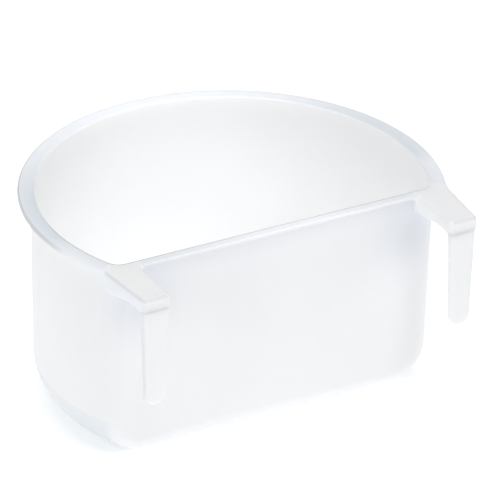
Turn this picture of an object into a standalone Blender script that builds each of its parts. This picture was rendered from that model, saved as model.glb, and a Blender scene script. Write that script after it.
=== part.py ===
"""Hanging hair colour bowl: a D shaped bowl with a flange, a ledge and two hooks.

The real bowl is one polypropylene moulding.  It is built here from its moulded features,
each a solid of its own with a small gap to its neighbours.  The two hook prongs flex, so
each has its origin on the line it bends about.

Metres, +Z up.  The flat wall faces -Y and the bowl is symmetric about X = 0.  It stands on
Z = 0, with the origin below the middle of its overall box.
"""

import math

import bmesh
import bpy
from mathutils import Vector

# ---- driving dimensions ----
GAP = 0.0003                      # clearance between neighbouring features
WALL = 0.0014                     # thickness of the moulded walls and floor
BOWL_HEIGHT = 0.0740              # underside to rim

RIM_RADIUS = 0.0650               # inside of the curved wall, at the rim
FLAT_OFFSET = 0.0289              # curve's centre to the inside of the flat wall, at the rim
DRAFT = math.radians(0.9)         # every wall leans in towards the floor
CORNER_AT_RIM = 0.0060            # outer radius between the curved and flat walls
CORNER_AT_FOOT = 0.0095
CORNER_ON_FLOOR = 0.0020          # at the edge of the flat floor
CURVED_FOOT_RADIUS = 0.0150       # outer radius from the curved wall into the floor
FLAT_FOOT_RADIUS = 0.0080         # outer radius from the flat wall into the floor
FOOT_BAND = 0.0010                # straight band that the foot keeps beyond its curve

FLANGE_REACH = 0.0043             # flange beyond the outside of the curved wall
FLANGE_THICKNESS = 0.0014
FLANGE_CROWN = 0.0005             # how far the flange's outer edge falls below the rim

LEDGE_REACH = 0.0020              # ledge beyond the outside of the flat wall
LEDGE_THICKNESS = 0.0014

ARM_MARGIN = 0.0003               # arm's outer side inside the flange's end
ARM_ROOT_WIDTH = 0.0120
ARM_END_WIDTH = 0.0102
ARM_REACH = 0.0234                # arm beyond the outside of the flat wall
ARM_DEPTH = 0.0050                # at the front end, over the prong
ARM_ROOT_DEPTH = 0.0072           # at the wall, where a gusset fills the corner
GUSSET_LENGTH = 0.0140
SEAT_STEP = 0.0003                # how far the hanging seat lies above the front end's underside
ARM_ROUNDING = 0.0012

PRONG_DROP = 0.0395               # rim to the prong's tip
PRONG_THICKNESS = 0.0024
PRONG_INSET = 0.0004              # prong behind the arm's front and side faces
PRONG_TIP_WIDTH = 0.0072

ARC_STEPS = 60
CORNER_STEPS = 6
FOOT_STEPS = 7
ARM_BEVEL_STEPS = 3
PRONG_TIP_STEPS = 10
FLANGE_STEPS = 96                 # for the whole turn
MERGE_DISTANCE = 0.00001
SHARP_ANGLE = math.radians(35)    # edges above this stay crisp

# ---- places that follow from them ----
OUTER_RADIUS = RIM_RADIUS + WALL
OUTER_FLAT = FLAT_OFFSET + WALL
FLANGE_RADIUS = OUTER_RADIUS + FLANGE_REACH
FRONT_REACH = OUTER_FLAT + ARM_REACH
CENTRE_Y = (FRONT_REACH - FLANGE_RADIUS) / 2
FLAT_Y = CENTRE_Y - OUTER_FLAT
FRONT_Y = CENTRE_Y - FRONT_REACH
ARM_OUTER_X = math.sqrt(FLANGE_RADIUS ** 2 - OUTER_FLAT ** 2) - ARM_MARGIN
ARM_INNER_X = ARM_OUTER_X - ARM_ROOT_WIDTH
FOOT_TOP = max(CURVED_FOOT_RADIUS, FLAT_FOOT_RADIUS)
WALL_HEIGHTS = (BOWL_HEIGHT, FOOT_TOP + FOOT_BAND + GAP)
ARM_END_HEIGHT = BOWL_HEIGHT - ARM_DEPTH


def make_material(name, color, roughness):
    """Natural polypropylene in one tone."""
    material = bpy.data.materials.new(name)
    material.use_nodes = True
    shader = material.node_tree.nodes["Principled BSDF"]
    shader.inputs["Base Color"].default_value = (*color, 1.0)
    shader.inputs["Roughness"].default_value = roughness
    shader.inputs["Metallic"].default_value = 0.0
    return material


def add_object(name, mesh, collection):
    """A new object for a mesh, in a collection."""
    thing = bpy.data.objects.new(name, mesh)
    collection.objects.link(thing)
    return thing


def finish(thing, material):
    """Give a part its material and smooth shading with crisp edges."""
    thing.data.materials.clear()
    thing.data.materials.append(material)
    thing.data.shade_smooth()
    thing.data.set_sharp_from_angle(angle=SHARP_ANGLE)


def mesh_from(name, build):
    """A mesh filled by a function that edits a bmesh."""
    mesh = bpy.data.meshes.new(name)
    shape = bmesh.new()
    build(shape)
    shape.normal_update()
    bmesh.ops.recalc_face_normals(shape, faces=shape.faces)
    shape.to_mesh(mesh)
    shape.free()
    return mesh


def foot_inset(height, radius):
    """How far a foot of this radius draws the wall in at a height above the floor."""
    if height >= radius:
        return 0.0
    return radius - math.sqrt(radius ** 2 - (radius - height) ** 2)


def d_section(height, grow=0.0):
    """The outer outline at a height: (arc and corner points, flat wall's end).

    The points run from the flat wall's right end, round the back, to its left end.
    """
    down = BOWL_HEIGHT - height
    lean = math.tan(DRAFT) * down
    radius = OUTER_RADIUS - lean - foot_inset(height, CURVED_FOOT_RADIUS) + grow
    flat_inset = foot_inset(height, FLAT_FOOT_RADIUS)
    flat = OUTER_FLAT - lean - flat_inset + grow
    corner = CORNER_AT_RIM + (CORNER_AT_FOOT - CORNER_AT_RIM) * down / BOWL_HEIGHT
    corner += (CORNER_ON_FLOOR - CORNER_AT_FOOT) * flat_inset / FLAT_FOOT_RADIUS
    corner = max(corner + grow, GAP)
    turn_x = math.sqrt((radius - corner) ** 2 - (flat - corner) ** 2)
    turn_y = corner - flat
    start = math.atan2(turn_y, turn_x)
    points = []
    for step in range(CORNER_STEPS):
        angle = -math.pi / 2 + (start + math.pi / 2) * step / CORNER_STEPS
        points.append((turn_x + corner * math.cos(angle), turn_y + corner * math.sin(angle)))
    for step in range(ARC_STEPS + 1):
        angle = start + (math.pi - 2 * start) * step / ARC_STEPS
        points.append((radius * math.cos(angle), radius * math.sin(angle)))
    for step in range(CORNER_STEPS):
        x, y = points[CORNER_STEPS - 1 - step]
        points.append((-x, y))
    return [Vector((x, y + CENTRE_Y, height)) for x, y in points]


def add_loft(shape, sections, closed):
    """Faces between sections that each hold the same number of points."""
    rows = [[shape.verts.new(point) for point in section] for section in sections]
    count = len(rows[0])
    last = count if closed else count - 1
    for upper, lower in zip(rows, rows[1:]):
        for i in range(last):
            j = (i + 1) % count
            shape.faces.new((lower[i], lower[j], upper[j], upper[i]))
    return rows


def thicken(thing):
    """Turn an outer skin into a wall, growing inwards."""
    solidify = thing.modifiers.new("Wall", "SOLIDIFY")
    solidify.thickness = WALL
    solidify.offset = -1.0
    solidify.use_even_offset = True


def add_skin(name, sections, closed, parts, material):
    """A moulded wall from an outer skin through these sections, top section first."""
    mesh = bpy.data.meshes.new(name)
    shape = bmesh.new()
    add_loft(shape, sections, closed)
    shape.to_mesh(mesh)
    shape.free()
    thing = add_object(name, mesh, parts)
    thicken(thing)
    finish(thing, material)


def curved_wall(parts, material):
    """The wall round the back, with the upright corners that turn to the flat wall."""
    sections = [d_section(height) for height in WALL_HEIGHTS]
    add_skin("curved_wall", sections, False, parts, material)


def base_foot(parts, material):
    """The rounded turn from every wall into the floor, with a straight band at each end."""
    turns = [math.pi / 2 * step / FOOT_STEPS for step in range(FOOT_STEPS + 1)]
    sections = [d_section(FOOT_TOP + FOOT_BAND)]
    sections += [d_section(FOOT_TOP * (1 - math.sin(turn))) for turn in turns]
    sections.append(d_section(0.0, grow=-FOOT_BAND))
    add_skin("base_foot", sections, True, parts, material)


def flat_wall(parts, material):
    """The flat wall, between the upright corners: a slab that leans with the draft."""
    sections = []
    for height in WALL_HEIGHTS:
        end = d_section(height)[0]
        half = end.x - GAP
        sections.append([Vector((-half, end.y, height)), Vector((half, end.y, height))])
    add_skin("flat_wall", sections, False, parts, material)


def floor_panel(parts, material):
    """The flat floor inside the foot."""
    def build(shape):
        outline = d_section(0.0, grow=-FOOT_BAND - GAP)
        base = shape.faces.new([shape.verts.new(point) for point in outline])
        raised = bmesh.ops.extrude_face_region(shape, geom=[base])["geom"]
        tops = [item for item in raised if isinstance(item, bmesh.types.BMVert)]
        bmesh.ops.translate(shape, verts=tops, vec=(0, 0, WALL))

    thing = add_object("floor_panel", mesh_from("floor_panel", build), parts)
    finish(thing, material)


def add_box(name, low, high, collection):
    """A box between two corners, from a cube."""
    def build(shape):
        bmesh.ops.create_cube(shape, size=1.0)
        size = Vector(high) - Vector(low)
        bmesh.ops.scale(shape, verts=shape.verts, vec=size)
        bmesh.ops.translate(shape, verts=shape.verts, vec=(Vector(low) + Vector(high)) / 2)

    return add_object(name, mesh_from(name, build), collection)


def hide_cutter(thing):
    """Cutters only show as wires."""
    thing.hide_render = True
    thing.display_type = "WIRE"


def cut(thing, cutter):
    """Take a cutter's shape out of a part."""
    boolean = thing.modifiers.new(cutter.name, "BOOLEAN")
    boolean.operation = "DIFFERENCE"
    boolean.solver = "EXACT"
    boolean.object = cutter


def wall_cutter(cutters):
    """The bowl's outline at the rim, grown by the gap and taller than the flange."""
    def build(shape):
        outline = d_section(BOWL_HEIGHT, grow=GAP)
        low = Vector((0, 0, -2 * FLANGE_THICKNESS))
        high = Vector((0, 0, FLANGE_THICKNESS))
        rows = add_loft(shape, [[p + high for p in outline], [p + low for p in outline]], True)
        shape.faces.new(rows[0])
        shape.faces.new(rows[1])

    thing = add_object("wall_cutter", mesh_from("wall_cutter", build), cutters)
    hide_cutter(thing)
    return thing


def rim_flange(parts, cutters, material):
    """A turned, slightly crowned lip round the curved wall, ending at the flat wall."""
    inner = RIM_RADIUS - CORNER_AT_RIM
    crown_start = FLANGE_RADIUS - FLANGE_REACH / 2
    profile = [(inner, 0.0), (crown_start, 0.0), (FLANGE_RADIUS - FLANGE_CROWN, -FLANGE_CROWN / 2),
               (FLANGE_RADIUS, -2 * FLANGE_CROWN), (FLANGE_RADIUS, -FLANGE_THICKNESS),
               (inner, -FLANGE_THICKNESS)]
    mesh = bpy.data.meshes.new("rim_flange")
    edges = [(i, (i + 1) % len(profile)) for i in range(len(profile))]
    mesh.from_pydata([(x, 0.0, z) for x, z in profile], edges, [])
    thing = add_object("rim_flange", mesh, parts)
    thing.location = (0.0, CENTRE_Y, BOWL_HEIGHT)
    screw = thing.modifiers.new("Turn", "SCREW")
    screw.axis = "Z"
    screw.angle = 2 * math.pi
    screw.steps = FLANGE_STEPS
    screw.render_steps = FLANGE_STEPS
    screw.use_merge_vertices = True
    screw.merge_threshold = MERGE_DISTANCE
    cut(thing, wall_cutter(cutters))
    low = (-2 * FLANGE_RADIUS, FLAT_Y - 2 * FLANGE_RADIUS, BOWL_HEIGHT - 2 * FLANGE_THICKNESS)
    high = (2 * FLANGE_RADIUS, FLAT_Y, BOWL_HEIGHT + FLANGE_THICKNESS)
    front_cutter = add_box("front_cutter", low, high, cutters)
    hide_cutter(front_cutter)
    cut(thing, front_cutter)
    finish(thing, material)


def front_ledge(parts, material):
    """The narrow lip along the top of the flat wall, between the arms."""
    half = ARM_INNER_X - GAP
    low = (-half, FLAT_Y - LEDGE_REACH, BOWL_HEIGHT - LEDGE_THICKNESS)
    high = (half, FLAT_Y - GAP, BOWL_HEIGHT)
    thing = add_box("front_ledge", low, high, parts)
    finish(thing, material)


def hook_arm(side, sign, parts, material):
    """A bar that stands out from the rim, narrowing forwards, with a gusset at the wall.

    Its upper and front edges are rounded.  Its flat seat lies between gusset and front end.
    """
    back = FLAT_Y - GAP
    end_back = FRONT_Y + 2 * PRONG_INSET + PRONG_THICKNESS
    seat = ARM_END_HEIGHT + SEAT_STEP
    profile = [(back, BOWL_HEIGHT), (FRONT_Y, BOWL_HEIGHT), (FRONT_Y, ARM_END_HEIGHT),
               (end_back, ARM_END_HEIGHT), (end_back, seat), (back - GUSSET_LENGTH, seat),
               (back, BOWL_HEIGHT - ARM_ROOT_DEPTH)]

    def width(y):
        """The arm's width narrows evenly from the wall to the front."""
        return ARM_ROOT_WIDTH + (ARM_END_WIDTH - ARM_ROOT_WIDTH) * (back - y) / (back - FRONT_Y)

    def is_rounded(edge):
        """The top's front and side edges, and the front's two uprights."""
        one, other = (vertex.co for vertex in edge.verts)
        on_top = min(one.z, other.z) > BOWL_HEIGHT - GAP
        on_front = max(one.y, other.y) < FRONT_Y + GAP
        at_back = min(one.y, other.y) > back - GAP
        return not at_back and (on_top or (on_front and abs(one.z - other.z) > GAP))

    def build(shape):
        side_face = shape.faces.new([shape.verts.new((ARM_INNER_X, y, z)) for y, z in profile])
        raised = bmesh.ops.extrude_face_region(shape, geom=[side_face])["geom"]
        for item in raised:
            if isinstance(item, bmesh.types.BMVert):
                item.co.x += width(item.co.y)
        rounded = [edge for edge in shape.edges if is_rounded(edge)]
        bmesh.ops.bevel(shape, geom=rounded, offset=ARM_ROUNDING, segments=ARM_BEVEL_STEPS,
                        profile=0.5, affect="EDGES")
        for vertex in shape.verts:
            vertex.co.x *= sign

    name = "hook_arm_" + side
    finish(add_object(name, mesh_from(name, build), parts), material)


def hook_prong(side, sign, parts, material):
    """A tongue that hangs from the arm's front, narrowing to a round tip.

    Its origin is on the line it bends about: the top of its front face.
    """
    top_half = ARM_END_WIDTH / 2 - PRONG_INSET
    tip = PRONG_TIP_WIDTH / 2
    length = PRONG_DROP - ARM_DEPTH - GAP
    outline = [(-top_half, 0.0)]
    for step in range(PRONG_TIP_STEPS + 1):
        angle = math.pi + math.pi * step / PRONG_TIP_STEPS
        outline.append((tip * math.cos(angle), tip - length + tip * math.sin(angle)))
    outline.append((top_half, 0.0))
    name = "hook_prong_" + side
    curve = bpy.data.curves.new(name, "CURVE")
    curve.dimensions = "2D"
    curve.fill_mode = "BOTH"
    curve.extrude = PRONG_THICKNESS / 2
    spline = curve.splines.new("POLY")
    spline.points.add(len(outline) - 1)
    for point, (x, z) in zip(spline.points, outline):
        point.co = (x, z, 0.0, 1.0)
    spline.use_cyclic_u = True
    guide = add_object(name + "_outline", curve, parts)
    mesh = bpy.data.meshes.new_from_object(guide.evaluated_get(bpy.context.evaluated_depsgraph_get()))
    bpy.data.objects.remove(guide)
    shape = bmesh.new()
    shape.from_mesh(mesh)
    bmesh.ops.remove_doubles(shape, verts=shape.verts, dist=MERGE_DISTANCE)
    bmesh.ops.recalc_face_normals(shape, faces=shape.faces)
    shape.to_mesh(mesh)
    shape.free()
    for vertex in mesh.vertices:
        x, z, depth = vertex.co
        vertex.co = (x, PRONG_THICKNESS / 2 - depth, z)
    thing = add_object(name, mesh, parts)
    middle = ARM_INNER_X + ARM_END_WIDTH / 2
    thing.location = (sign * middle, FRONT_Y + PRONG_INSET, ARM_END_HEIGHT - GAP)
    finish(thing, material)


def main():
    """Clear the scene and build every part."""
    for thing in list(bpy.data.objects):
        bpy.data.objects.remove(thing)
    parts = bpy.data.collections.new("hair_color_bowl")
    cutters = bpy.data.collections.new("cutters")
    bpy.context.scene.collection.children.link(parts)
    bpy.context.scene.collection.children.link(cutters)

    bowl = make_material("bowl_plastic", (0.86, 0.88, 0.89), 0.42)
    rim = make_material("rim_plastic", (0.80, 0.84, 0.86), 0.34)
    hook = make_material("hook_plastic", (0.87, 0.88, 0.89), 0.38)

    floor_panel(parts, bowl)
    base_foot(parts, bowl)
    curved_wall(parts, bowl)
    flat_wall(parts, bowl)
    rim_flange(parts, cutters, rim)
    front_ledge(parts, rim)
    for side, sign in (("left", -1), ("right", 1)):
        hook_arm(side, sign, parts, hook)
        hook_prong(side, sign, parts, hook)


main()
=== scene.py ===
"""Hanging hair colour bowl: the finished surfaces, plastic, studio and camera.

Laid out as an add-on: sizes and colours are properties, and each piece or group of like
pieces has an operator.  Metres, +Z up, standing on Z = 0, flat wall towards -Y.
"""

import math

import bmesh
import bpy
import numpy as np
from bpy.props import FloatProperty, FloatVectorProperty, PointerProperty
from bpy.types import Operator, Panel, PropertyGroup
from mathutils import Matrix, Vector


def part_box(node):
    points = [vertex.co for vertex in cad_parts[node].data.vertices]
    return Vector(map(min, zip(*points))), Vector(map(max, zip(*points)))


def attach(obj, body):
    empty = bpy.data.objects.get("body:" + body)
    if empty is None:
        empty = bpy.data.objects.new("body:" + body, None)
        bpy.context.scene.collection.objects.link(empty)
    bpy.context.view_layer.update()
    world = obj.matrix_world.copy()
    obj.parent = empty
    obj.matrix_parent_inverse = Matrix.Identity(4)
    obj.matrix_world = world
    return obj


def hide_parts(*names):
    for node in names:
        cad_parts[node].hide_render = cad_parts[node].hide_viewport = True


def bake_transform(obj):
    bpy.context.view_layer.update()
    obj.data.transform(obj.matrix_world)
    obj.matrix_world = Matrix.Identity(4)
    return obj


bl_info = {
    "name": "Hanging Colour Bowl",
    "version": (1, 0, 0),
    "blender": (4, 5, 0),
    "location": "View3D > Sidebar > Colour Bowl",
    "description": "Makes a moulded hair colour bowl with two sprung hanging hooks",
    "category": "Add Mesh",
}

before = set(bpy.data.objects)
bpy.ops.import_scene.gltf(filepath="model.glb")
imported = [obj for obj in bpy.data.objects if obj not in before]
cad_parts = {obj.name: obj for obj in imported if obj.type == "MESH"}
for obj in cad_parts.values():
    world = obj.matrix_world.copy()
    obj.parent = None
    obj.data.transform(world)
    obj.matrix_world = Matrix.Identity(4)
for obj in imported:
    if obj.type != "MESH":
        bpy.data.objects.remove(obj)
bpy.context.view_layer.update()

MM = 0.001
SLIT = 0.3 * MM  # the gap that the frame leaves between neighbouring solids

# ---- places that the frame gives ----
RIM_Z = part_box("rim_flange")[1].z
FLANGE_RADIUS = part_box("rim_flange")[1].x
CENTRE_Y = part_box("rim_flange")[1].y - FLANGE_RADIUS
FLAT_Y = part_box("flat_wall")[0].y
FRONT_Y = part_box("hook_arm_right")[0].y
ARM_INNER_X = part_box("hook_arm_right")[0].x
ARM_END_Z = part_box("hook_prong_right")[1].z
PRONG_TIP_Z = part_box("hook_prong_right")[0].z
PRONG_FACE_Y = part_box("hook_prong_right")[0].y
PRONG_BACK_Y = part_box("hook_prong_right")[1].y
PRONG_THICKNESS = PRONG_BACK_Y - PRONG_FACE_Y
PRONG_MIDDLE_X = (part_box("hook_prong_right")[0].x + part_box("hook_prong_right")[1].x) / 2
PRONG_TOP_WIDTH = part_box("hook_prong_right")[1].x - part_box("hook_prong_right")[0].x
LEDGE_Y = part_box("front_ledge")[0].y


def length(name, description, default):
    """A length property in metres."""
    return FloatProperty(name=name, description=description, default=default,
                         min=0.0, unit="LENGTH", precision=5)


def angle(name, description, degrees):
    """An angle property."""
    return FloatProperty(name=name, description=description, default=math.radians(degrees),
                         unit="ROTATION")


def share(name, description, default, high=1.0):
    """A plain number property, from 0 up."""
    return FloatProperty(name=name, description=description, default=default, min=0.0, max=high,
                         precision=3)


def tone(name, description, default):
    """A colour property."""
    return FloatVectorProperty(name=name, description=description, default=default,
                               subtype="COLOR", size=3, min=0.0, max=1.0)


class BowlSizes(PropertyGroup):
    """Sizes of the moulded bowl, its lip and its arms."""

    wall: length("Wall", "Thickness of the moulded walls", 1.4 * MM)
    outer_radius: length("Outer radius", "Outside of the curved wall at the rim", 66.4 * MM)
    draft: angle("Draft", "How far every wall leans in towards the floor", 0.9)
    corner_at_rim: length("Corner at rim", "Outer radius of the upright corners, at the rim", 6.0 * MM)
    corner_at_foot: length("Corner at foot", "Outer radius of the upright corners, low down", 9.5 * MM)
    corner_on_floor: length("Corner on floor", "Corner radius of the flat floor", 2.0 * MM)
    curved_foot: length("Curved foot", "Outer radius from the curved wall into the floor", 15.0 * MM)
    flat_foot: length("Flat foot", "Outer radius from the flat wall into the floor", 8.0 * MM)
    lip: length("Lip thickness", "Thickness of the flange and ledge", 1.4 * MM)
    lip_edge: length("Lip edge", "Rounding of the flange's outer edge", 0.9 * MM)
    ledge_edge: length("Ledge edge", "Rounding of the ledge's top edge", 0.35 * MM)
    arm_edge: length("Arm edge", "Rounding of the arms' top edges", 1.15 * MM)
    arm_corner: length("Arm corner", "Plan radius of the arms' front corners", 1.5 * MM)
    arm_root: length("Arm root", "Plan radius where an arm meets the ledge", 1.2 * MM)
    arm_flange: length("Arm to flange", "Plan radius where an arm meets the flange", 6.0 * MM)
    arm_end_width: length("Arm end width", "Width of an arm at its front", 10.2 * MM)
    arm_root_depth: length("Arm root depth", "Depth of the gusset under an arm, at the wall", 7.2 * MM)
    gusset: length("Gusset length", "How far the gusset reaches forwards", 14.0 * MM)
    seat_step: length("Seat step", "The hanging seat lies this far above the arm's end", 0.3 * MM)
    under_edge: length("Under edge", "Rounding of the flange's and ledge's lower edges", 0.3 * MM)
    arm_under: length("Arm under edge", "How much rounder the arms' lower edges are", 0.35 * MM)
    inner_edge: length("Inner edge", "Rounding of the rim's inner edge", 0.4 * MM)
    under_fillet: length("Fillet", "Fillet between the wall and what stands out from it", 0.6 * MM)
    floor_recess: length("Floor recess", "Hollow of the floor's underside", 0.4 * MM)


class HookSizes(PropertyGroup):
    """Sizes of the two hanging prongs."""

    tip_width: length("Tip width", "Width just above the round tip", 7.2 * MM)
    edge: length("Edge", "Rounding of a prong's long edges", 0.55 * MM)
    crown: length("Crown", "How far a prong's face swells at its middle", 0.12 * MM)
    buried: length("Buried length", "How far a prong reaches up into its arm", 2.2 * MM)


class PlasticLook(PropertyGroup):
    """Tones and finish of the natural polypropylene; the upper, lip and edge tones are painted shade and
    the inner tone is painted light.
    """

    body: tone("Body", "Tone of the walls, low down", (0.926, 0.942, 0.990))
    # The upper tone is painted shade: from the body tone low down, the walls darken towards this tone
    # near the rim, standing in for floor light that brightens them low down.
    upper: tone("Upper", "Tone of the walls below the rim", (0.888, 0.911, 0.976))
    # The lip tone is painted shade: the flange's edge-on darkness, also laid on the ledge's top, the
    # arms' outer sides, the flange's underside and the curved foot.
    lip: tone("Lip", "Tone of the flange, where the plastic is seen edge on", (0.585, 0.645, 0.675))
    # The inner tone is painted light: the inside, the arms and the prongs are made lighter where light
    # comes through the plastic.
    inner: tone("Inner", "Tone of the inside, where light comes through the walls", (0.980, 0.988, 0.995))
    # The edge tone is painted shade: dark lines along edges, and painted shadows on the wall below the
    # ledge and below the arms' roots.
    edge: tone("Edge", "Tone of the thin lines along sharp edges", (0.555, 0.58, 0.595))
    roughness: share("Roughness", "Roughness of the satin surface", 0.36)
    mottle: share("Mottle", "Strength of the cloudy flow marks", 0.02)
    grain: share("Grain", "Strength of the fine moulded grain", 0.10)
    translucency: share("Translucency", "Share of light that scatters through", 0.85)
    scatter: length("Scatter distance", "How far light spreads inside the plastic", 4.0 * MM)


class StudioLook(PropertyGroup):
    """Light, floor and camera."""

    world: share("Surroundings", "Strength of the white surroundings", 0.29, high=10.0)
    key: share("Key light", "Power of the big soft light at the left front", 5.0, high=1000.0)
    front: share("Front light", "Power of the soft light high in front", 2.6, high=1000.0)
    overhead: share("Overhead light", "Power of the wide light overhead", 7.4, high=1000.0)
    inside: share("Inside light", "Power of the narrow beam into the bowl", 5.5, high=1000.0)
    right: share("Right light", "Power of the soft light at the right front", 2.4, high=1000.0)
    slant: share("Slanting light", "Power of the narrow beam onto the inside's back", 13.0, high=1000.0)
    floor_glow: share("Floor glow", "Light that the floor gives off itself", 0.37, high=10.0)
    azimuth: angle("Azimuth", "Camera's turn round the bowl", -29.393)
    elevation: angle("Elevation", "Camera's height above the horizon", 28.854)
    roll: angle("Roll", "Camera's tilt", 1.070)
    distance: length("Distance", "Camera to the middle of the rim's curve", 1.970)
    lens: share("Lens", "Focal length in millimetres", 432.0, high=1000.0)
    aside: length("Aside", "Camera's sidestep, which frames the bowl", 5.72 * MM)
    below: length("Below", "Camera's step down, which frames the bowl", 20.33 * MM)


# ---- the bowl's outline -------------------------------------------------------------------
# A column is a place round the bowl.  q runs from 0 at the middle of the flat wall to 1 at the
# upright corner's start, 2 at its end and 3 at the middle of the back.

LEDGE_COLUMNS = 44
LIP_COLUMNS = 170
ARM_COUNTS = (8, 10, 26, 14, 14, 14, 26, 12, 4)  # columns on each run and arc round an arm
LEAD = 3 * MM  # an arm's outline starts this far along the ledge
TAIL = 4 * MM  # and ends this far along the flange
LIP_START = 0.008  # turn, in radians, from there to the flange's first column
BLOCK_BEHIND = 0.7 * MM  # an arm's end block ends this far behind the prong's back
BLOCK_STEP = 0.6 * MM  # and rises to the seat over this distance
TOP_MARGIN = 0.12 * MM  # bare strip at both ends of the flat top's rows
TOP_INSET = 0.38 * MM  # the flat top's rows end this far outside the inner edge's rounding
LEAST_CORNER = 0.2 * MM  # the smallest radius of an upright corner

# ---- how strongly the painted shade and painted light are laid on, from 0 to 1 ----
FLANGE_TOP, FLANGE_TOP_FAR = 0.25, 0.40  # painted shade (lip tone) on top, and what is added on the far side
FLANGE_SIDE, FLANGE_SIDE_FAR = 0.25, 0.75  # the same, on its side
FLANGE_FADE = 0.5  # share of the top's painted shade that is lost at the back
FLANGE_OUTER = 0.85  # share of the top's painted shade at its outer edge
FLANGE_LINE = 0.95  # painted dark line (edge tone) round its outer edge
FLANK_TONE = 0.25  # painted shade (lip tone) on an arm's outer side
ARM_LINE = 0.4  # painted dark line (edge tone) along an arm's top edges
ARM_PAINTED_LIGHT, NOOK_PAINTED_LIGHT = 0.4, 0.5  # painted light (inner tone) on the arms, and what is added between arm and ledge
LEDGE_TONE, LEDGE_LINE = 0.2, 0.4  # painted shade (lip tone) on the ledge's top and a painted dark line (edge tone) on its side
LEDGE_SHADE = 0.22  # painted shadow (edge tone) on the wall below the ledge
ROOT_SHADE = 0.42  # painted shadow (edge tone) on the wall below an arm's root
ROOT_X, ROOT_Z = 49 * MM, 59 * MM  # the middle of that painted shadow
ROOT_WIDE, ROOT_HIGH = 9 * MM, 11 * MM  # where it has fallen to about a third
RIM_LINE = ((0.22 * MM, 0.8), (0.0, 0.9))  # distance outside the inner edge's rounding, and strength of the painted dark line (edge tone)
PRONG_LINE, PRONG_TIP_LINE = 0.5, 0.35  # painted dark line (edge tone) on a prong's outer edge, and the tip's share
PRONG_PAINTED_LIGHT = 0.25  # painted light (inner tone) all over a prong


def d_point(q, radius, flat, corner):
    """Plan point of the D outline in the right half.

    Up to q 1 it is on the straight wall at -flat, up to 2 on the corner's arc, and up to 3 on
    the big arc about the origin.  The corner's centre is where an arc of the corner's radius
    touches both.
    """
    turn_x = np.sqrt((radius - corner) ** 2 - (flat - corner) ** 2)
    turn_y = corner - flat
    start = np.arctan2(turn_y, turn_x)
    bend = -math.pi / 2 + (start + math.pi / 2) * np.clip(q - 1, 0, 1)
    sweep = start + (math.pi / 2 - start) * np.clip(q - 2, 0, 1)
    x = np.where(q <= 1, q * turn_x, turn_x + corner * np.cos(bend))
    y = np.where(q <= 1, -flat + 0 * q, turn_y + corner * np.sin(bend))
    return np.where(q <= 2, x, radius * np.cos(sweep)), np.where(q <= 2, y, radius * np.sin(sweep))


def foot_inset(z, outer, radius):
    """How far a foot arc whose centre is at height outer draws the wall in at height z."""
    below = np.clip(outer - z, 0, radius)
    return np.where(z < outer, radius - np.sqrt(radius ** 2 - below ** 2), 0.0)


def wall_point(sizes, q, z, inside=False, grow=0.0):
    """Plan point of the wall's outer or inner face at height z.

    The outline at the rim moves in by the draft and by each foot's arc.  The inner face is
    the same outline, a wall's thickness further in, with the feet's arcs as much smaller.
    """
    wall = sizes.wall if inside else 0.0
    down = RIM_Z - z
    lean = math.tan(sizes.draft) * down
    curved = foot_inset(z, sizes.curved_foot, sizes.curved_foot - wall)
    flat_in = foot_inset(z, sizes.flat_foot, sizes.flat_foot - wall)
    radius = sizes.outer_radius - lean - curved - wall + grow
    flat = CENTRE_Y - FLAT_Y - lean - flat_in - wall + grow
    corner = sizes.corner_at_rim + (sizes.corner_at_foot - sizes.corner_at_rim) * down / RIM_Z
    corner = corner + (sizes.corner_on_floor - sizes.corner_at_foot) * flat_in / sizes.flat_foot
    corner = np.maximum(corner - wall + grow, LEAST_CORNER)
    x, y = d_point(q, radius, flat, corner)
    return x, y + CENTRE_Y


def rounded_path(corners, radii, counts):
    """Points and inward normals along a path with rounded corners.

    Each corner is an arc of its own radius that touches both straight runs.  counts gives how
    many points each run and each arc has.  Inward is to the left of the way along.
    """
    points, normals = [], []
    here = np.array(corners[0], float)
    for i, radius in enumerate(radii, start=1):
        before = np.array(corners[i]) - np.array(corners[i - 1])
        after = np.array(corners[i + 1]) - np.array(corners[i])
        before, after = before / np.hypot(*before), after / np.hypot(*after)
        turn = math.atan2(before[0] * after[1] - before[1] * after[0], before @ after)
        reach = radius * abs(math.tan(turn / 2))
        start = np.array(corners[i]) - reach * before
        side = math.copysign(1.0, turn)
        left = np.array([-before[1], before[0]])
        centre = start + side * radius * left
        t = np.linspace(0, 1, counts[2 * i - 2], endpoint=False)[:, None]
        points.append(here + (start - here) * t)
        normals.append(np.repeat(left[None], len(t), 0))
        bend = turn * np.linspace(0, 1, counts[2 * i - 1], endpoint=False)
        spun = np.stack([left[0] * np.cos(bend) - left[1] * np.sin(bend),
                         left[0] * np.sin(bend) + left[1] * np.cos(bend)], 1)
        points.append(centre - side * radius * spun)
        normals.append(spun)
        here = np.array(corners[i]) + reach * after
    last = np.array(corners[-1])
    run = (last - here) / np.hypot(*(last - here))
    t = np.linspace(0, 1, counts[-1], endpoint=False)[:, None]
    points.append(here + (last - here) * t)
    normals.append(np.repeat([[-run[1], run[0]]], len(t), 0))
    return np.concatenate(points), np.concatenate(normals)


def ramp(value, start, end):
    """0 before start, 1 after end and an even curve between, 3 t squared less 2 t cubed."""
    t = np.clip((value - start) / (end - start), 0, 1)
    return t * t * (3 - 2 * t)


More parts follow.
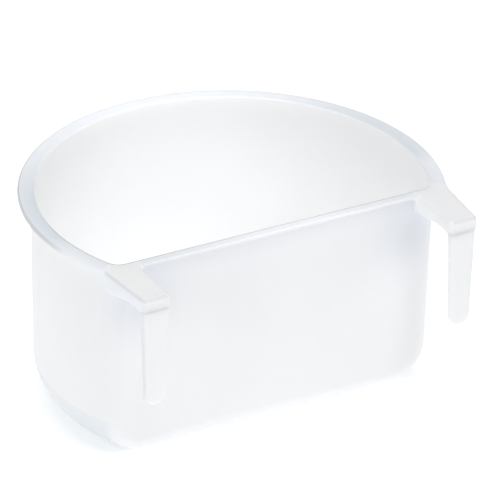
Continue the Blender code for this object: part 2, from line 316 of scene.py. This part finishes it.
class Columns:
    """Everything that depends only on the place round the bowl, as arrays.

    q and side give the place on the wall.  x, y are the lip's outer edge in plan, and in_x,
    in_y point square inwards from it.  arm is 1 on an arm and 0 on the ledge or flange, lip is
    1 on the flange and front is 1 on the ledge.  outer is 1 on an arm's outer side and front,
    flank on its outer side and nook on its inner side.  curved is 1 on the curved wall, far on
    the far part of the flange and near where the rim's painted dark line shows.  The last array
    is the flange's tone on top, a painted shade.
    """

    def __init__(self, sizes):
        end = math.asin((FLAT_Y - CENTRE_Y) / FLANGE_RADIUS)
        end_x = FLANGE_RADIUS * math.cos(end)
        out_x = ARM_INNER_X + sizes.arm_end_width
        last = (end_x - TAIL * math.sin(end), FLAT_Y + TAIL * math.cos(end))
        corners = [(ARM_INNER_X - LEAD, LEDGE_Y), (ARM_INNER_X, LEDGE_Y), (ARM_INNER_X, FRONT_Y),
                   (out_x, FRONT_Y), (end_x, FLAT_Y), last]
        radii = [sizes.arm_root, sizes.arm_corner, sizes.arm_corner, sizes.arm_flange]
        path, inward = rounded_path(corners, radii, ARM_COUNTS)
        run = np.concatenate([[0], np.cumsum(np.hypot(*np.diff(path, axis=0).T))])

        ledge_x = np.linspace(0, corners[0][0], LEDGE_COLUMNS, endpoint=False)
        ledge = np.stack([ledge_x, np.full_like(ledge_x, LEDGE_Y)], 1)
        start = math.atan2(path[-1][1] - CENTRE_Y, path[-1][0]) + LIP_START
        sweep = np.linspace(start, math.pi / 2, LIP_COLUMNS)
        out = np.stack([np.cos(sweep), np.sin(sweep)], 1)
        around = FLANGE_RADIUS * out + (0.0, CENTRE_Y)

        corner = sizes.corner_at_rim
        flat = CENTRE_Y - FLAT_Y
        turn_x = math.sqrt((sizes.outer_radius - corner) ** 2 - (flat - corner) ** 2)
        wall_start = math.atan2(corner - flat, turn_x)
        q_lip = 2 + (sweep - wall_start) / (math.pi / 2 - wall_start)
        q_ledge = ledge_x / turn_x
        q_first, q_last = corners[0][0] / turn_x, q_lip[0]
        ease = run / (run[-1] + (run[-1] - run[-2]))
        q_arm = q_first + (q_last - q_first) * ease

        half = np.concatenate([ledge, path, around])
        half_in = np.concatenate([np.repeat([[0.0, 1.0]], len(ledge), 0), inward, -out])
        q = np.concatenate([q_ledge, q_arm, q_lip])
        since_ledge = np.concatenate([ledge_x - corners[0][0], run, run[-1] + 0 * sweep])
        root_in = ramp(since_ledge - LEAD + sizes.arm_root, 0, 1.2 * sizes.arm_root)
        root_out = ramp(run[-1] - since_ledge, 3.0 * MM, 4.6 * MM)
        lip = np.concatenate([0 * ledge_x, ramp(run - run[-1], -4.5 * MM, -0.5 * MM), 1 + 0 * sweep])
        front = np.concatenate([1 + 0 * ledge_x, 1 - ramp(run, 0, LEAD), 0 * sweep])

        def whole(values, flip=1.0):
            """The right half, then the left half in reverse, without the shared columns."""
            return np.concatenate([values, flip * values[-2:0:-1]])

        self.q = whole(q)
        self.side = whole(np.ones_like(q), -1.0)
        self.x, self.y = whole(half[:, 0], -1.0), whole(half[:, 1])
        self.in_x, self.in_y = whole(half_in[:, 0], -1.0), whole(half_in[:, 1])
        self.arm, self.lip, self.front = whole(root_in * root_out), whole(lip), whole(front)

        behind, faces_out = self.y - CENTRE_Y, -self.side * self.in_x
        self.outer = self.arm * ramp(faces_out, -0.45, 0.15)
        self.flank = self.arm * ramp(faces_out, 0, 1)
        self.nook = self.arm * ramp(-faces_out, 0, 1)
        self.curved = ramp(self.q, 1.5, 2.1)
        # far, near and back only place painted shade: more on the far part of the flange, the painted
        # dark rim line on the near side fading at the right end, and less at the back
        self.far = ramp(behind, -16 * MM, -2 * MM)
        right_end = ramp(self.side * self.q, 0.7, 1.3)
        self.near = (1 - ramp(behind, -4 * MM, 12 * MM)) * (1 - 0.85 * right_end)
        back = ramp(behind, 25 * MM, 55 * MM)
        self.lip_shade_tone = self.lip * (FLANGE_TOP + FLANGE_TOP_FAR * self.far) * (1 - FLANGE_FADE * back)


def wall_at(sizes, columns, z, inside=False, grow=0.0):
    """The wall's outline round the whole bowl at height z."""
    x, y = wall_point(sizes, columns.q, z + 0 * columns.q, inside, grow)
    return columns.side * x, y


def arm_underside(sizes, y):
    """Height of an arm's underside: the gusset slopes up to the seat, and the end block hangs lower."""
    seat = ARM_END_Z + SLIT + sizes.seat_step
    root = RIM_Z - sizes.arm_root_depth
    slope = np.clip((FLAT_Y - y) / sizes.gusset, 0, 1)
    block = ramp(PRONG_BACK_Y + BLOCK_BEHIND - y, 0, BLOCK_STEP)
    return root + (seat - root) * slope - sizes.seat_step * block


def bowl_rows(sizes, columns):
    """Every row of the bowl from the underside's middle, out, up, over the lip and down inside.

    Each row is (x, y, z, lip tone, edge tone, upper tone, inner tone) round the whole bowl.
    The lip, edge and upper tones are painted shade and the inner tone is painted light.
    Quarter turns go by sine and cosine, and everything between two outlines runs straight.
    """
    rows = []
    none = 0 * columns.q

    def add(x, y, z, lip=0.0, edge=0.0, inner=0.0, fair=0.0):
        """A row; the upper tone, a painted shade, grows with its height, less where fair is 1."""
        upper = ramp(z / RIM_Z, 0.1, 0.9) * (1 - fair)
        rows.append((x, y, z + none, lip + none, edge + none, upper + none, inner + none))

    # the floor's underside: the outline at the ground, drawn in towards the middle
    ground_x, ground_y = wall_at(sizes, columns, 0.0)
    middle_y = (ground_y.max() + ground_y.min()) / 2
    for part in (0.04, 0.2, 0.4, 0.6, 0.75, 0.86, 0.9, 0.92, 0.94, 0.96, 0.985):
        hollow = sizes.floor_recess * (1 - ramp(part, 0.9, 0.96))
        add(ground_x * part, middle_y + (ground_y - middle_y) * part, hollow)
    # the foot: heights follow a quarter turn of the larger arc, with painted shade (lip tone) on the
    # curved wall growing towards the floor
    for turn in np.linspace(math.pi / 2, 0, 19):
        z = sizes.curved_foot * (1 - math.sin(turn))
        add(*wall_at(sizes, columns, z), z, columns.curved * math.sqrt(math.sin(turn)))

    # the outer wall, up to the fillet under the lip or arm, with painted shadows below the ledge and
    # below each arm's root
    under = RIM_Z - sizes.lip
    ledge = columns.front * (1 - columns.arm)
    top = under + (RIM_Z - sizes.arm_root_depth - under) * columns.arm
    fillet = sizes.under_fillet
    for part in np.linspace(0, 1, 26)[1:]:
        z = sizes.curved_foot + (top - fillet - sizes.curved_foot) * part
        x, y = wall_point(sizes, columns.q, z)
        # painted shadow (edge tone) below the arms' roots and below the ledge
        root = np.exp(-((x - ROOT_X) / ROOT_WIDE) ** 2 - ((z - ROOT_Z) / ROOT_HIGH) ** 2)
        below_ledge = ledge * ramp(z, 62 * MM, 72 * MM) ** 2
        shade = ROOT_SHADE * root * (columns.q < 2) + LEDGE_SHADE * below_ledge
        add(columns.side * x, y, z, edge=shade)

    # the fillet and the underside, along straight lines in plan from the wall to the edge, with painted
    # shade (lip tone) growing outwards under the flange
    wall_x, wall_y = wall_point(sizes, columns.q, top)
    wall_x = columns.side * wall_x
    in_x, in_y = columns.in_x, columns.in_y
    edge = sizes.under_edge + sizes.arm_under * columns.arm
    edge_x, edge_y = columns.x + in_x * edge, columns.y + in_y * edge
    span = np.hypot(edge_x - wall_x, edge_y - wall_y)

    def underside(y):
        """Height of the underside at a plan place."""
        return under + (arm_underside(sizes, y) - under) * columns.arm

    for turn in np.linspace(0, math.pi / 2, 5)[1:]:
        out = fillet * (1 - math.cos(turn)) / span
        x, y = wall_x + (edge_x - wall_x) * out, wall_y + (edge_y - wall_y) * out
        add(x, y, underside(y) - fillet * (1 - math.sin(turn)))
    first = fillet / span
    for part in np.linspace(0, 1, 16)[1:]:
        out = first + (1 - first) * part
        x, y = wall_x + (edge_x - wall_x) * out, wall_y + (edge_y - wall_y) * out
        add(x, y, underside(y), 0.5 * columns.lip * part)

    # the lower edge, the side and the rounded upper edge, square to the outline
    low = underside(columns.y)
    # painted shade (lip tone) on the flange's side and an arm's outer side, and the flange's painted dark
    # outer line (edge tone) on the far side
    side_tone = columns.lip * (FLANGE_SIDE + FLANGE_SIDE_FAR * columns.far)
    side_tone = side_tone + FLANK_TONE * columns.flank
    side_line = FLANGE_LINE * columns.lip * columns.far
    for turn in np.linspace(0, math.pi / 2, 5)[1:]:
        inset = edge * (1 - math.sin(turn))
        add(columns.x + in_x * inset, columns.y + in_y * inset, low + edge * (1 - math.cos(turn)),
            side_tone, side_line + LEDGE_LINE * ledge * math.sin(turn))
    round_ = sizes.arm_edge * columns.arm + (1 - columns.arm) * (
        sizes.lip_edge * columns.lip + sizes.ledge_edge * (1 - columns.lip))
    bottom = low + edge
    # painted light (inner tone) on the arms' sides, more on the inner side, where the upper shade is also
    # taken off
    for part in (0.33, 0.67):
        add(columns.x, columns.y, bottom + (RIM_Z - round_ - bottom) * part,
            side_tone, side_line + LEDGE_LINE * ledge * (1 - part),
            ARM_PAINTED_LIGHT * columns.arm + NOOK_PAINTED_LIGHT * columns.nook, columns.nook)
    for turn in np.linspace(0, math.pi / 2, 9):
        inset = round_ * (1 - math.cos(turn))
        fade = 1 - turn / math.pi * 2
        # painted dark lines (edge tone) along the flange's outer edge and an arm's top edges
        line = side_line * (1 - ramp(turn, 1.05, 1.5)) + ARM_LINE * columns.outer * math.sin(2 * turn)
        add(columns.x + in_x * inset, columns.y + in_y * inset, RIM_Z - round_ * (1 - math.sin(turn)),
            side_tone * fade + FLANGE_OUTER * columns.lip_shade_tone * (1 - fade), line, ARM_PAINTED_LIGHT * columns.arm)

    # the flat top, along straight lines to the rim's inner edge, with painted shade (lip tone) on the
    # flange and ledge and painted light (inner tone) on the arms
    inner = sizes.inner_edge
    rim_x, rim_y = wall_at(sizes, columns, RIM_Z, inside=True, grow=inner + TOP_INSET)
    start_x, start_y = columns.x + in_x * round_, columns.y + in_y * round_
    margin = TOP_MARGIN / np.hypot(rim_x - start_x, rim_y - start_y)
    for part in (0.0, 0.2, 0.4, 0.6, 0.8, 1.0):
        out = margin + (1 - 2 * margin) * part
        add(start_x + (rim_x - start_x) * out, start_y + (rim_y - start_y) * out, RIM_Z,
            columns.lip_shade_tone * (FLANGE_OUTER + (1 - FLANGE_OUTER) * part) + LEDGE_TONE * ledge,
            0.0, ARM_PAINTED_LIGHT * columns.arm)
    # a painted dark line (edge tone) along the rim's inner edge, on the near side
    for beyond, strength in RIM_LINE:
        x, y = wall_at(sizes, columns, RIM_Z, inside=True, grow=inner + beyond)
        add(x, y, RIM_Z, columns.lip_shade_tone, strength * columns.near)
    # the rim's inner edge and the inner wall; round the edge the painted shade and painted dark line fade
    # into the inside's painted light (inner tone)
    for turn in np.linspace(0, math.pi / 2, 7)[1:]:
        x, y = wall_at(sizes, columns, RIM_Z, inside=True, grow=inner * (1 - math.sin(turn)))
        fade = 1 - turn / math.pi * 2
        add(x, y, RIM_Z - inner * (1 - math.cos(turn)), columns.lip_shade_tone * fade, columns.near * fade,
            1 - fade)
    for part in np.linspace(0, 1, 12)[1:]:
        z = RIM_Z - inner + (sizes.curved_foot - RIM_Z + inner) * part
        add(*wall_at(sizes, columns, z, inside=True), z, inner=1.0)
    # the inner foot and floor, in painted light (inner tone)
    for turn in np.linspace(0, math.pi / 2, 19)[1:]:
        z = sizes.curved_foot - (sizes.curved_foot - sizes.wall) * math.sin(turn)
        add(*wall_at(sizes, columns, z, inside=True), z, inner=1.0)
    floor_x, floor_y = wall_at(sizes, columns, sizes.wall, inside=True)
    for part in (0.97, 0.9, 0.75, 0.55, 0.35, 0.15, 0.04):
        add(floor_x * part, middle_y + (floor_y - middle_y) * part, sizes.wall, inner=1.0)
    return rows, middle_y


TONES = ("lip_shade_tone", "edge_shade_tone", "upper_shade_tone", "inner_light_tone")


def ring_mesh(name, rows, poles=None):
    """A mesh through rows of equal length, each a closed ring.

    Faces join each row to the next.  With poles, a fan closes each end onto its point.
    Without, the first and last rows lie folded on a line, and are sewn up along it.
    """
    stack = np.array(rows, float)
    count, around = stack.shape[0], stack.shape[2]
    data = stack.transpose(0, 2, 1).reshape(-1, 7)
    index = np.arange(count * around).reshape(count, around)
    after = np.roll(index, -1, axis=1)
    quads = np.stack([index[:-1], after[:-1], after[1:], index[1:]], -1).reshape(-1, 4)
    faces = quads.tolist()
    if poles:
        ends = np.array([data[0], data[-1]])
        ends[:, :3] = poles
        data = np.concatenate([data, ends])
        low, high = count * around, count * around + 1
        faces += np.stack([np.full(around, low), after[0], index[0]], 1).tolist()
        faces += np.stack([np.full(around, high), index[-1], after[-1]], 1).tolist()
    mesh = bpy.data.meshes.new(name)
    mesh.from_pydata(data[:, :3].tolist(), [], faces)
    for attribute, values in zip(TONES, data[:, 3:].T):
        layer = mesh.attributes.new(attribute, "FLOAT", "POINT")
        layer.data.foreach_set("value", values.astype(np.float32))
    if not poles:
        work = bmesh.new()
        work.from_mesh(mesh)
        bmesh.ops.remove_doubles(work, verts=work.verts, dist=0.001 * MM)
        work.to_mesh(mesh)
        work.free()
    mesh.validate()
    mesh.shade_smooth()
    return mesh


def show(name, mesh, material):
    """A piece at the origin with its finish."""
    mesh.materials.append(material)
    piece = bpy.data.objects.new(name, mesh)
    bpy.context.scene.collection.objects.link(piece)
    return piece


# ---- the prongs ---------------------------------------------------------------------------

def prong_rows(sizes, sign):
    """A tongue with rounded edges and a round tip, as a profile carried round its outline.

    sign is -1 on the left and 1 on the right.  The outline runs down one side, round the tip,
    up the other side and across the top.  Each outline point has a spine point on the middle
    line, and the faces run straight between them, with a slight swell.  The profile is a
    quarter turn at each long edge.
    """
    top = ARM_END_Z + sizes.buried
    wide, tip = PRONG_TOP_WIDTH / 2, sizes.tip_width / 2
    tip_z = PRONG_TIP_Z + tip
    side = np.linspace(0, 1, 40, endpoint=False)
    slope = (wide - tip) / (ARM_END_Z - tip_z)
    right_z = top + (tip_z - top) * side
    right_x = np.minimum(wide, tip + (right_z - tip_z) * slope)
    turn = np.linspace(0, math.pi, 33)
    cross = np.linspace(-1, 1, 13)[1:-1]
    x = np.concatenate([right_x, tip * np.cos(turn), -right_x[::-1], cross * wide])
    z = np.concatenate([right_z, tip_z - tip * np.sin(turn), right_z[::-1], 0 * cross + top])
    out_x = np.concatenate([1 + 0 * side, np.cos(turn), -1 + 0 * side, 0 * cross])
    out_z = np.concatenate([0 * side, -np.sin(turn), 0 * side, 1 + 0 * cross])
    spine_z = np.clip(z, tip_z, top - sizes.edge)
    # painted dark line (edge tone) along a prong's outer edge and round its tip
    line = PRONG_LINE * (ramp(sign * out_x, 0, 1) + PRONG_TIP_LINE * np.clip(-out_z, 0, 1))
    half = PRONG_THICKNESS / 2
    rows = []

    def add(px, depth, pz, edge=0.0):
        """A row at a depth behind the middle plane; all of it has the upper tone's painted shade and some
        painted light (inner tone).
        """
        none = 0 * x
        rows.append((sign * PRONG_MIDDLE_X + px, PRONG_FACE_Y + half + depth + none, pz, none,
                     edge + none, none + 1, none + PRONG_PAINTED_LIGHT))

    def face(way, parts):
        """Rows between the rounded edge and the spine, on the front (-1) or back (1) face."""
        inset_x, inset_z = x - out_x * sizes.edge, z - out_z * sizes.edge
        for part in parts:
            swell = sizes.crown * (1 - part) ** 2
            add(inset_x * (1 - part), way * (half - swell), inset_z + (spine_z - inset_z) * part)

    def rounding(way, bends):
        """Rows round the long edge, next to the front (-1) or back (1) face."""
        for bend in bends:
            inset = sizes.edge * (1 - math.sin(bend))
            depth = way * (half - sizes.crown - sizes.edge * (1 - math.cos(bend)))
            add(x - out_x * inset, depth, z - out_z * inset, math.sin(bend) * line)

    parts, bends = (1.0, 0.85, 0.65, 0.45, 0.25, 0.1), np.linspace(0, math.pi / 2, 7)
    face(-1, parts)
    rounding(-1, bends)
    rounding(1, bends[::-1])
    face(1, parts[::-1])
    return rows


# ---- the plastic --------------------------------------------------------------------------

class NodeBoard:
    """Adds shader nodes to a material and links them."""

    def __init__(self, name):
        self.material = bpy.data.materials.new(name)
        self.material.use_nodes = True
        self.tree = self.material.node_tree
        self.shader = self.tree.nodes["Principled BSDF"]

    def add(self, kind, inputs=None, **settings):
        """A node with its settings and input values; an input may be another node's output."""
        node = self.tree.nodes.new(kind)
        for key, value in settings.items():
            setattr(node, key, value)
        for key, value in (inputs or {}).items():
            self.put(node.inputs[key], value)
        return node

    def put(self, socket, value):
        """Set a socket, or link an output to it."""
        if isinstance(value, bpy.types.NodeSocket):
            self.tree.links.new(value, socket)
        else:
            socket.default_value = value

    def noise(self, scale, detail=3.0, roughness=0.5, stretch=(1, 1, 1)):
        """Noise on object coordinates, in features to the metre."""
        where = self.add("ShaderNodeTexCoord").outputs["Object"]
        mapping = self.add("ShaderNodeMapping", {"Vector": where, "Scale": stretch})
        node = self.add("ShaderNodeTexNoise", {"Vector": mapping.outputs[0], "Scale": scale,
                                               "Detail": detail, "Roughness": roughness})
        return node.outputs["Fac"]

    def remap(self, value, low, high, to_low, to_high):
        """A straight remap of a value, clamped."""
        node = self.add("ShaderNodeMapRange", {"Value": value, "From Min": low, "From Max": high,
                                               "To Min": to_low, "To Max": to_high})
        return node.outputs["Result"]

    def blend_colors(self, amount, one, other, mode="MIX"):
        """Two colours mixed by an amount; sockets 0, 6 and 7 are the factor and the colours."""
        node = self.add("ShaderNodeMix", data_type="RGBA", blend_type=mode)
        for index, value in ((0, amount), (6, one), (7, other)):
            self.put(node.inputs[index], value)
        return node.outputs[2]


NOISE_RANGE = (0.3, 0.7)  # most of the noise lies between these


def polypropylene(look):
    """Natural polypropylene: cloudy white, satin, fine grained, a little translucent, with painted shade
    and painted light mixed in from the mesh's tone attributes.
    """
    board = NodeBoard("natural_polypropylene")
    clouds = board.noise(28.0, detail=4.0, roughness=0.55, stretch=(1.0, 1.0, 0.6))
    flow = board.noise(90.0, detail=3.0, roughness=0.6, stretch=(1.0, 1.0, 0.25))
    shade = board.remap(clouds, *NOISE_RANGE, 1.0 - look.mottle, 1.0)
    streak = board.remap(flow, *NOISE_RANGE, 1.0 - look.mottle / 2, 1.0)
    color = (*look.body, 1.0)
    # mix in the mesh's painted tones: upper shade, inner light, lip shade, and edge tone for dark lines
    # and painted shadows
    for attribute, other in (("upper_shade_tone", look.upper), ("inner_light_tone", look.inner),
                             ("lip_shade_tone", look.lip), ("edge_shade_tone", look.edge)):
        amount = board.add("ShaderNodeAttribute", attribute_name=attribute).outputs["Fac"]
        color = board.blend_colors(amount, color, (*other, 1.0))
    tint = board.add("ShaderNodeMath", {0: shade, 1: streak}, operation="MULTIPLY").outputs[0]
    gray = board.add("ShaderNodeCombineColor", {"Red": tint, "Green": tint, "Blue": tint}).outputs[0]
    color = board.blend_colors(1.0, color, gray, "MULTIPLY")
    board.put(board.shader.inputs["Base Color"], color)

    scuff = board.noise(420.0, detail=4.0, roughness=0.65, stretch=(1.0, 1.0, 0.35))
    rough = board.remap(scuff, 0.3, 0.75, look.roughness - 0.06, look.roughness + 0.12)
    board.put(board.shader.inputs["Roughness"], rough)

    grain = board.noise(2600.0, detail=2.0, roughness=0.5)
    ripple = board.noise(60.0, detail=2.0, roughness=0.4, stretch=(1.0, 1.0, 0.5))
    fine = board.add("ShaderNodeBump", {"Height": grain, "Strength": look.grain, "Distance": 0.05 * MM})
    wave = board.add("ShaderNodeBump", {"Height": ripple, "Strength": 0.35, "Distance": 0.4 * MM,
                                        "Normal": fine.outputs[0]})
    board.put(board.shader.inputs["Normal"], wave.outputs[0])

    shader = board.shader
    shader.inputs["IOR"].default_value = 1.49
    shader.inputs["Specular IOR Level"].default_value = 0.5
    shader.inputs["Subsurface Weight"].default_value = look.translucency
    shader.inputs["Subsurface Radius"].default_value = (1.0, 1.0, 1.0)
    shader.inputs["Subsurface Scale"].default_value = look.scatter
    return board.material


def finish_material(look):
    """The one plastic that all pieces share."""
    return bpy.data.materials.get("natural_polypropylene") or polypropylene(look)


# ---- operators ----------------------------------------------------------------------------

class COLOURBOWL_OT_bowl(Operator):
    """Make the bowl moulding: floor, foot, walls, flange, ledge and arms as one skin"""

    bl_idname = "colourbowl.bowl"
    bl_label = "Make Bowl"

    def execute(self, context):
        sizes = context.scene.colourbowl_bowl
        rows, middle_y = bowl_rows(sizes, Columns(sizes))
        poles = ((0.0, middle_y, sizes.floor_recess), (0.0, middle_y, sizes.wall))
        mesh = ring_mesh("bowl_moulding", rows, poles)
        bowl = show("bowl_moulding", mesh, finish_material(context.scene.colourbowl_plastic))
        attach(bowl, "bowl")
        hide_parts("floor_panel", "base_foot", "curved_wall", "flat_wall", "rim_flange",
                    "front_ledge", "hook_arm_left", "hook_arm_right")
        return {"FINISHED"}


class COLOURBOWL_OT_prongs(Operator):
    """Make the two hanging prongs"""

    bl_idname = "colourbowl.prongs"
    bl_label = "Make Prongs"

    def execute(self, context):
        sizes = context.scene.colourbowl_hook
        for side, sign in (("left", -1.0), ("right", 1.0)):
            mesh = ring_mesh("prong_" + side, prong_rows(sizes, sign))
            prong = show("hanging_prong_" + side, mesh,
                         finish_material(context.scene.colourbowl_plastic))
            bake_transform(prong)
            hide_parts("hook_prong_" + side)
        return {"FINISHED"}


class COLOURBOWL_OT_stage(Operator):
    """Make the pale floor, the soft light and the camera"""

    bl_idname = "colourbowl.stage"
    bl_label = "Make Stage"

    def execute(self, context):
        look = context.scene.colourbowl_studio
        make_floor(look)
        make_light(look)
        make_camera(look)
        context.scene.view_settings.view_transform = "Standard"
        return {"FINISHED"}


FLOOR_HALF = 30.0  # half of the floor's side, in metres
FLOOR_TONE = 0.93
BOWL_HEART = (0.0, 0.0, 0.04)  # the point in the bowl that the soft lights look at
BEAM_SOURCE = 0.02  # radius of the beams' sources, in metres


def make_floor(look):
    """A wide, plain, pale floor."""
    board = NodeBoard("pale_floor")
    board.shader.inputs["Base Color"].default_value = (FLOOR_TONE, FLOOR_TONE, FLOOR_TONE, 1.0)
    board.shader.inputs["Roughness"].default_value = 0.9
    board.shader.inputs["Specular IOR Level"].default_value = 0.1
    board.shader.inputs["Emission Color"].default_value = (1.0, 1.0, 1.0, 1.0)
    board.shader.inputs["Emission Strength"].default_value = look.floor_glow
    mesh = bpy.data.meshes.new("floor")
    corners = [(FLOOR_HALF * x, FLOOR_HALF * y, 0) for x, y in ((-1, -1), (1, -1), (1, 1), (-1, 1))]
    mesh.from_pydata(corners, [], [(0, 1, 2, 3)])
    mesh.materials.append(board.material)
    floor = bpy.data.objects.new("floor", mesh)
    bpy.context.scene.collection.objects.link(floor)


def add_light(name, kind, place, target, power):
    """A light of one kind that looks at a point; returns its data, for its size."""
    light = bpy.data.lights.new(name, kind)
    light.energy = power
    thing = bpy.data.objects.new(name, light)
    thing.location = place
    way = Vector(target) - Vector(place)
    thing.rotation_euler = way.to_track_quat("-Z", "Y").to_euler()
    bpy.context.scene.collection.objects.link(thing)
    return light


def make_light(look):
    """White surroundings, four soft square lights and two narrow beams into the bowl."""
    world = bpy.data.worlds.new("white_studio")
    world.use_nodes = True
    back = world.node_tree.nodes["Background"]
    back.inputs["Color"].default_value = (1.0, 1.0, 1.0, 1.0)
    back.inputs["Strength"].default_value = look.world
    bpy.context.scene.world = world
    soft = (("key", (-1.3, -0.35, 0.9), BOWL_HEART, 0.9, look.key),
            ("front", (0.2, -0.95, 1.0), BOWL_HEART, 0.3, look.front),
            ("right", (1.2, -0.7, 0.7), BOWL_HEART, 0.9, look.right),
            ("overhead", (0.0, 0.2, 1.3), (0.0, 0.0, 0.0), 1.2, look.overhead))
    for name, place, target, side, power in soft:
        add_light(name, "AREA", place, target, power).size = side
    beams = (("inside", (0.0, 0.013, 0.65), (0.0, 0.013, 0.0), 11.0, 0.8, look.inside),
             ("slant", (0.0, -0.72, 0.88), (0.010, 0.058, 0.034), 6.2, 1.0, look.slant))
    for name, place, target, cone, softness, power in beams:
        beam = add_light(name, "SPOT", place, target, power)
        beam.spot_size, beam.spot_blend = math.radians(cone), softness
        beam.shadow_soft_size = BEAM_SOURCE


def make_camera(look):
    """A long lens that looks at the middle of the rim's curve, stepped aside to frame the bowl."""
    turn, rise = look.azimuth, look.elevation
    back = Vector((math.sin(turn) * math.cos(rise), -math.cos(turn) * math.cos(rise), math.sin(rise)))
    across = (-back).cross(Vector((0, 0, 1))).normalized()
    upward = across.cross(-back)
    right = across * math.cos(look.roll) + upward * math.sin(look.roll)
    up = upward * math.cos(look.roll) - across * math.sin(look.roll)
    place = Vector((0.0, CENTRE_Y, RIM_Z)) + back * look.distance + right * look.aside - up * look.below
    data = bpy.data.cameras.new("camera")
    data.lens = look.lens
    data.sensor_width = 36.0
    data.clip_start, data.clip_end = 0.1, 100.0
    camera = bpy.data.objects.new("camera", data)
    axes = Matrix((right, up, back)).transposed().to_4x4()
    camera.matrix_world = Matrix.Translation(place) @ axes
    bpy.context.scene.collection.objects.link(camera)
    bpy.context.scene.camera = camera


class COLOURBOWL_PT_panel(Panel):
    """Buttons for each piece and the stage"""

    bl_idname = "COLOURBOWL_PT_panel"
    bl_label = "Colour Bowl"
    bl_space_type = "VIEW_3D"
    bl_region_type = "UI"
    bl_category = "Colour Bowl"

    def draw(self, context):
        for operator in OPERATORS:
            self.layout.operator(operator.bl_idname)


OPERATORS = (COLOURBOWL_OT_bowl, COLOURBOWL_OT_prongs, COLOURBOWL_OT_stage)
GROUPS = (("colourbowl_bowl", BowlSizes), ("colourbowl_hook", HookSizes),
          ("colourbowl_plastic", PlasticLook), ("colourbowl_studio", StudioLook))


def register():
    """Add the properties, operators and panel."""
    for name, group in GROUPS:
        bpy.utils.register_class(group)
        setattr(bpy.types.Scene, name, PointerProperty(type=group))
    for made in (*OPERATORS, COLOURBOWL_PT_panel):
        bpy.utils.register_class(made)


def unregister():
    """Remove the panel, operators and properties."""
    for made in (COLOURBOWL_PT_panel, *reversed(OPERATORS)):
        bpy.utils.unregister_class(made)
    for name, group in reversed(GROUPS):
        delattr(bpy.types.Scene, name)
        bpy.utils.unregister_class(group)


def main():
    """Register the add-on, then make every piece and the stage."""
    register()
    bpy.ops.colourbowl.bowl()
    bpy.ops.colourbowl.prongs()
    bpy.ops.colourbowl.stage()


if __name__ == "__main__":
    main()
